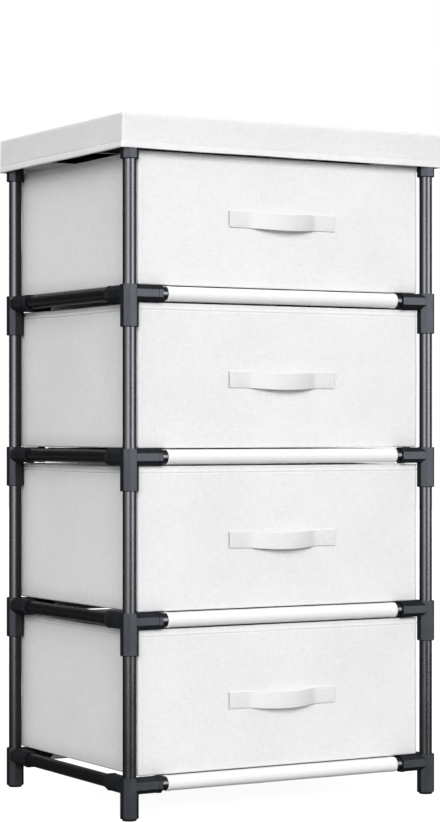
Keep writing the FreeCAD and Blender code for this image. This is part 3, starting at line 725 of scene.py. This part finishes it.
def shelf_sheet(tier):
    """One cloth over the front and rear tubes, sewn round each as a sleeve."""
    low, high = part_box(f"shelf_sheet_{tier}")
    outer = (high.z - low.z) / 2
    axis_z = high.z - outer
    axis_y = high.y - outer
    bend = outer - SLEEVE_CLOTH / 2
    half = SLEEVE_CLOTH / 2

    under = axis_z + bend - SLEEVE_CLOTH * ALLOWANCE_DEPTH

    def sleeve(side):
        """From the seam allowance under the cloth, down and round the tube, to its top."""
        y = side * axis_y
        path = [(y - side * (SLEEVE_SEAM + SLEEVE_ALLOWANCE * (1 - step / 3)), under) for step in range(3)]
        touch = radians(215)                 # where the cloth meets the tube's underside
        start = (y - side * SLEEVE_SEAM, under)
        end = (y + side * bend * cos(touch), axis_z + bend * sin(touch))
        path += [(start[0] + (end[0] - start[0]) * step / 5, start[1] + (end[1] - start[1]) * step / 5)
                 for step in range(5)]
        steps = 22
        for step in range(steps + 1):
            angle = touch + (radians(450) - touch) * step / steps
            path.append((y + side * bend * cos(angle), axis_z + bend * sin(angle)))
        return path

    front = sleeve(-1)
    rear = sleeve(1)
    flat_steps = 20
    across = []
    for step in range(1, flat_steps):
        share = step / flat_steps
        sag = SHELF_SAG * sin(pi * share)
        across.append((-axis_y + 2 * axis_y * share, axis_z + bend - sag))
    line = front + across + rear[::-1]

    count = len(line)
    normals = []
    for index in range(count):
        before, after = line[max(0, index - 1)], line[min(count - 1, index + 1)]
        way = Vector((after[0] - before[0], after[1] - before[1])).normalized()
        normals.append((-way[1], way[0]))
    columns = 54
    width = high.x - low.x
    rings = []
    for column in range(columns + 1):
        share = column / columns
        share -= CROWDING * sin(2 * pi * share) / (2 * pi)
        x = low.x + width * share
        from_end = min(x - low.x, high.x - x)
        hem = 0.0003 if from_end < 0.006 else (-0.00015 if from_end < 0.008 else 0.0)
        upper, lower = [], []
        for (y, z), (ny, nz) in zip(line, normals):
            place = Vector((x, y, z))
            wrinkle = soft(place, 0.035, 0.00025, seed=7.0 * tier)
            outside = half + max(0.0, wrinkle) + (hem if abs(y) > axis_y - SLEEVE_SEAM else 0.0)
            upper.append(Vector((x, y + ny * outside, z + nz * outside)))
            lower.append(Vector((x, y - ny * half, z - nz * half)))
        rings.append(upper + lower[::-1])
    points, faces = loft(rings)
    sheet = new_piece(f"shelf_{tier}_cloth", points, faces, shelf_cloth, "frame")
    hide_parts(f"shelf_sheet_{tier}")
    lines = []
    for side in (-1, 1):
        y = side * (axis_y - SLEEVE_SEAM - SLEEVE_ALLOWANCE / 2)
        top = axis_z + bend + half - SHELF_SAG * SEAM_SAG
        path = [(Vector((low.x + 0.004 + (width - 0.008) * step / 60, y, top)), Vector((0, 0, 1)))
                for step in range(61)]
        lines += long_seam(path)
    points, faces = stitches(lines)
    thread = new_piece(f"shelf_{tier}_stitching", points, faces, thread_cotton, "frame")


top_cover()
for tier in TIERS:
    shelf_sheet(tier)
    drawer_bin(tier)
    handle_strap(tier)

# ---------------------------------------------------------------- stage, light and camera

AMBIENT = 0.43              # the world's light on the object
FLOOR_GREY = 0.24           # the floor's own reflectance
FLOOR_LIFT = 0.94           # added for the rays that show the background
FLOOR_SIZE = 80.0

TARGET = (0.0, 0.0, 0.42)   # what the soft lamps look at
CARD_DISTANCE = 3.0
CARD_HEIGHT = 1.9
CARD_LIFT = 0.02            # lower edge of the cards above the floor
CARDS = {
    # direction in degrees from the front towards the right, width in metres, power
    "card_left": (-82.0, 1.95, 59.0),
    "card_front_left": (-49.0, 1.5, 190.0),
    "card_front": (-27.0, 1.06, 30.0),
    "card_front_right": (27.0, 2.1, 290.0),
    "card_rear_right": (165.0, 1.55, 40.0),
}

SCREENS = {"screen_right": 120.0, "screen_rear_left": -150.0}
SCREEN_DISTANCE = 3.4
SCREEN_WIDTH = 4.4
SCREEN_HEIGHT = 2.6
SCREEN_LEVEL = 0.15
SCREEN_FLOOR = 4.0          # size of the screen that lies on the floor
SCREEN_FLOOR_LIFT = 0.0005

# the photograph's view, in its own pixels
PHOTO_HEIGHT = 822
FOCAL_PIXELS = 2422.0
EYE_LEVEL_ROW = 427.3
CAMERA_PLACE = (-1.539, -2.660, 0.460)
CAMERA_YAW = 30.09
SENSOR = 36.0


def background_rays(tree):
    """1 for the rays that show the background: camera, glossy and transmission."""
    path = add_node(tree, "ShaderNodeLightPath")
    shown = path.outputs["Is Camera Ray"]
    for name in ("Is Glossy Ray", "Is Transmission Ray"):
        either = add_node(tree, "ShaderNodeMath", {0: shown, 1: path.outputs[name]}, operation="MAXIMUM")
        shown = either.outputs[0]
    return shown


def studio_world():
    """A world that looks white and lights the object less."""
    world = bpy.data.worlds.new("studio")
    bpy.context.scene.world = world
    world.use_nodes = True
    tree = world.node_tree
    tree.nodes.clear()
    shown = background_rays(tree)
    strength = add_node(tree, "ShaderNodeMapRange", {"Value": shown, "To Min": AMBIENT, "To Max": 1.0})
    sky = add_node(tree, "ShaderNodeBackground", {
        "Color": (1.0, 1.0, 1.0, 1.0), "Strength": strength.outputs["Result"],
    })
    output = add_node(tree, "ShaderNodeOutputWorld")
    tree.links.new(sky.outputs["Background"], output.inputs["Surface"])


def flat_face(name, corner, across, rise, material):
    """A flat face from one corner, along two of its edges."""
    mesh = bpy.data.meshes.new(name)
    corners = [corner, corner + across, corner + across + rise, corner + rise]
    mesh.from_pydata(corners, [], [(0, 1, 2, 3)])
    mesh.materials.append(material)
    piece = bpy.data.objects.new(name, mesh)
    bpy.context.scene.collection.objects.link(piece)
    return piece


def pale_floor():
    """A floor that looks white and keeps the object's shadow."""
    material, tree, shader, place = new_material("pale_floor")
    shader.inputs["Base Color"].default_value = (FLOOR_GREY, FLOOR_GREY, FLOOR_GREY, 1.0)
    shader.inputs["Roughness"].default_value = 0.9
    shader.inputs["Specular IOR Level"].default_value = 0.0
    shader.inputs["Emission Color"].default_value = (1.0, 1.0, 1.0, 1.0)
    lift = add_node(tree, "ShaderNodeMath", {0: background_rays(tree), 1: FLOOR_LIFT}, operation="MULTIPLY")
    socket(tree, shader.inputs["Emission Strength"], lift.outputs[0])
    corner = Vector((-FLOOR_SIZE / 2, -FLOOR_SIZE / 2, 0))
    floor = flat_face("floor", corner, Vector((FLOOR_SIZE, 0, 0)), Vector((0, FLOOR_SIZE, 0)), material)


def area_light(name, place, target, width, height, power, glossy_only=False):
    """A rectangular lamp that only reflections see, or that reflections don't see."""
    data = bpy.data.lights.new(name, "AREA")
    data.shape = "RECTANGLE"
    data.size, data.size_y = width, height
    data.energy = power
    lamp = bpy.data.objects.new(name, data)
    bpy.context.scene.collection.objects.link(lamp)
    lamp.location = place
    aim = Vector(target) - Vector(place)
    lamp.rotation_euler = aim.to_track_quat("-Z", "Y").to_euler()
    lamp.visible_camera = False
    if glossy_only:
        lamp.visible_diffuse = False
    else:
        lamp.visible_glossy = False


def light_card(name, bearing, width, power):
    """An upright bright card round the object, for the highlights on tubes and mouldings."""
    x, y = CARD_DISTANCE * sin(radians(bearing)), -CARD_DISTANCE * cos(radians(bearing))
    height = CARD_HEIGHT / 2 + CARD_LIFT
    area_light(name, (x, y, height), (0.0, 0.0, height), width, CARD_HEIGHT, power, glossy_only=True)


def dull_screens():
    """Dim screens that only reflections see, so the mouldings' facets stand apart."""
    material, tree, shader, place = new_material("screen")
    shader.inputs["Base Color"].default_value = (0.0, 0.0, 0.0, 1.0)
    shader.inputs["Specular IOR Level"].default_value = 0.0
    shader.inputs["Emission Color"].default_value = (1.0, 1.0, 1.0, 1.0)
    shader.inputs["Emission Strength"].default_value = SCREEN_LEVEL
    screens = []
    for name, bearing in SCREENS.items():
        centre = Vector((sin(radians(bearing)), -cos(radians(bearing)), 0)) * SCREEN_DISTANCE
        across = Vector((-centre.y, centre.x, 0)).normalized() * SCREEN_WIDTH
        rise = Vector((0, 0, SCREEN_HEIGHT))
        screens.append(flat_face(name, centre - across / 2, across, rise, material))
    corner = Vector((-SCREEN_FLOOR / 2, -SCREEN_FLOOR / 2, SCREEN_FLOOR_LIFT))
    across, rise = Vector((SCREEN_FLOOR, 0, 0)), Vector((0, SCREEN_FLOOR, 0))
    screens.append(flat_face("screen_floor", corner, across, rise, material))
    for screen in screens:
        screen.visible_camera = screen.visible_diffuse = screen.visible_shadow = False
        screen.visible_transmission = screen.visible_volume_scatter = False


def photo_camera():
    """A level camera at the photograph's place; its shift keeps the uprights parallel."""
    data = bpy.data.cameras.new("camera")
    data.sensor_width = SENSOR
    data.lens = FOCAL_PIXELS * SENSOR / PHOTO_HEIGHT
    data.shift_y = (EYE_LEVEL_ROW - PHOTO_HEIGHT / 2) / PHOTO_HEIGHT
    camera = bpy.data.objects.new("camera", data)
    bpy.context.scene.collection.objects.link(camera)
    camera.location = CAMERA_PLACE
    camera.rotation_euler = (radians(90), 0.0, -radians(CAMERA_YAW))
    bpy.context.scene.camera = camera


studio_world()
pale_floor()
area_light("key", (-4.84, -8.06, 3.84), TARGET, 7.0, 4.0, 875.0)
area_light("rear_fill", (5.15, 8.57, 2.58), TARGET, 7.0, 5.0, 760.0)
for name, (bearing, width, power) in CARDS.items():
    light_card(name, bearing, width, power)
dull_screens()
photo_camera()
bpy.context.scene.view_settings.view_transform = "Standard"
